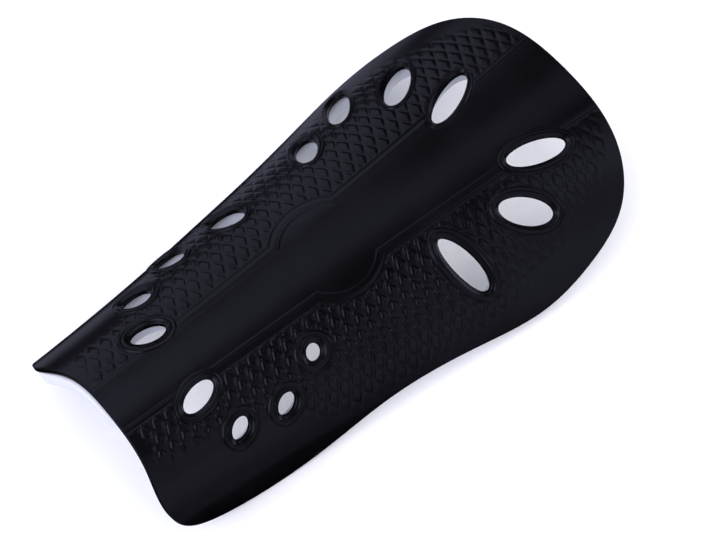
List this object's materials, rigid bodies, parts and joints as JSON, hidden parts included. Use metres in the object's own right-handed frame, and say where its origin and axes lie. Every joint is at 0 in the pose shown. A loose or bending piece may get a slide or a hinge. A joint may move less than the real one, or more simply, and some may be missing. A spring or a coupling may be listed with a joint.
{
  "type": "shin guard",
  "caption": "Slip-in shin guard: curved vented plastic shell with a diamond-textured face, bonded to a soft foam liner.",
  "frame": {"origin": "on the bench under the middle of the guard's bounding box, with the hollow shin side down", "axes": "+X from the ankle end to the knee end, +Y towards the wing with four upper vents, +Z outwards from the shin"},
  "size_m": [0.2074, 0.1134, 0.0389],
  "materials": {
    "shell_plastic": "semi-gloss moulded black polypropylene, smooth centre panel and diamond-textured wings",
    "bond_adhesive": "clear-drying contact adhesive film",
    "liner_foam": "matt white closed-cell EVA foam"
  },
  "bodies": {
    "root": {"outer_shell": "shell_plastic", "adhesive_film": "bond_adhesive", "foam_liner": "liner_foam"}
  },
  "joints": []
}
